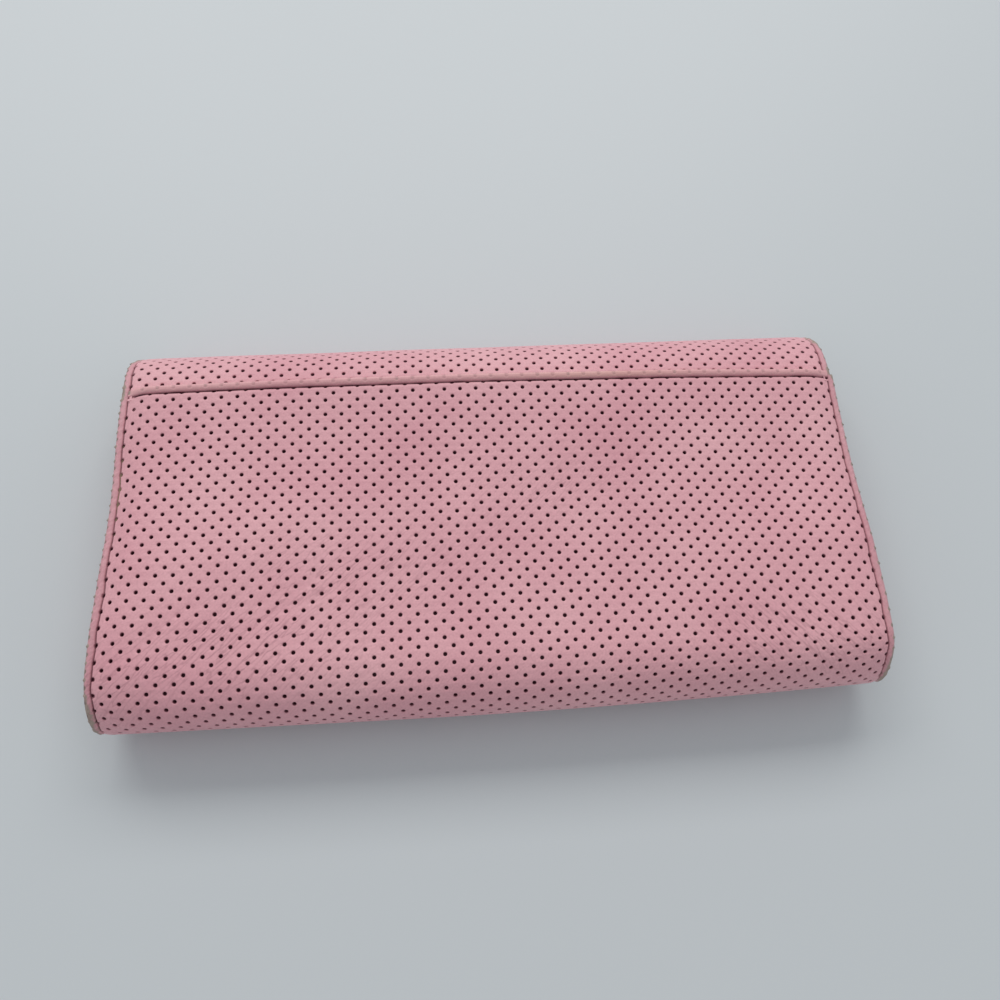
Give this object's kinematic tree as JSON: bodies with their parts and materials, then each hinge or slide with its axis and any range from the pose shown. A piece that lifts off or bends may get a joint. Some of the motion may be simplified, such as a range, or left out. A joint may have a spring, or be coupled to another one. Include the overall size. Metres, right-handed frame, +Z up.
{
  "type": "long wallet",
  "caption": "Long flap wallet in perforated leather with a slip pocket on its back, gusseted bill compartments, card slots, a zip coin pocket and a snap under the flap.",
  "frame": {"origin": "middle of the length and depth of the closed wallet, on the surface that it lies on", "axes": "+X along the spine, +Y from the bottom fold towards the spine, +Z up from the flap to the slip pocket on the back"},
  "size_m": [0.19, 0.104, 0.025],
  "materials": {
    "outer_leather": "perforated, semi-matt pink",
    "lining_leather": "smooth, matt pink",
    "board": "bonded fibre board",
    "lining_cloth": "woven twill",
    "hardware": "pale gold plate"
  },
  "bodies": {
    "flap": {"flap_leather": "outer_leather", "flap_board": "board", "flap_lining": "lining_leather", "snap_socket": "hardware", "snap_socket_plate": "hardware"},
    "spine": {"spine_leather": "outer_leather", "spine_lining": "lining_leather"},
    "back": {"back_panel": "outer_leather", "back_board": "board", "back_lining": "lining_leather", "pocket_lining": "lining_cloth", "pocket_wall": "outer_leather", "back_gusset_left": "lining_leather", "back_gusset_right": "lining_leather"},
    "coin_pocket": {"coin_front_wall": "lining_leather", "coin_back_wall": "lining_leather", "zip_tape_front": "lining_cloth", "zip_tape_back": "lining_cloth", "zip_chain": "hardware", "zip_stop_left": "hardware", "zip_stop_right": "hardware", "front_gusset_left": "lining_leather", "front_gusset_right": "lining_leather"},
    "slider": {"zip_slider": "hardware"},
    "puller": {"zip_puller": "hardware"},
    "front": {"front_panel": "outer_leather", "front_lining": "lining_leather", "front_apron": "lining_leather", "card_slot_left_1": "lining_leather", "card_slot_left_2": "lining_leather", "card_slot_left_3": "lining_leather", "card_slot_right_1": "lining_leather", "card_slot_right_2": "lining_leather", "card_slot_right_3": "lining_leather", "snap_stud": "hardware", "snap_stud_plate": "hardware"}
  },
  "joints": [
    {"name": "lower_crease", "type": "hinge", "parent": "flap", "child": "spine", "pos_m": [0, 0.05024, 0.00176], "axis": [-1, 0, 0], "range_deg": [0, 97]},
    {"name": "upper_crease", "type": "hinge", "parent": "spine", "child": "back", "pos_m": [0, 0.0425, 0.01763], "axis": [-1, 0, 0], "range_deg": [0, 84]},
    {"name": "coin_fan", "type": "hinge", "parent": "back", "child": "coin_pocket", "pos_m": [0, -0.0413, 0.0118], "axis": [-1, 0, 0], "range_deg": [0, 6]},
    {"name": "front_fan", "type": "hinge", "parent": "coin_pocket", "child": "front", "pos_m": [0, -0.0413, 0.0045], "axis": [-1, 0, 0], "range_deg": [0, 6]},
    {"name": "zip_slide", "type": "slide", "parent": "coin_pocket", "child": "slider", "axis": [1, 0, 0], "range_m": [-0.14, 0]},
    {"name": "puller_swing", "type": "hinge", "parent": "slider", "child": "puller", "pos_m": [0.07, 0.02995, 0.01293], "axis": [0, 0, -1], "range_deg": [0, 180]}
  ],
  "couplings": [
    {"joint": "upper_crease", "follows": "lower_crease", "ratio": 0.86},
    {"joint": "coin_fan", "follows": "lower_crease", "ratio": 0.06},
    {"joint": "front_fan", "follows": "lower_crease", "ratio": 0.06}
  ]
}
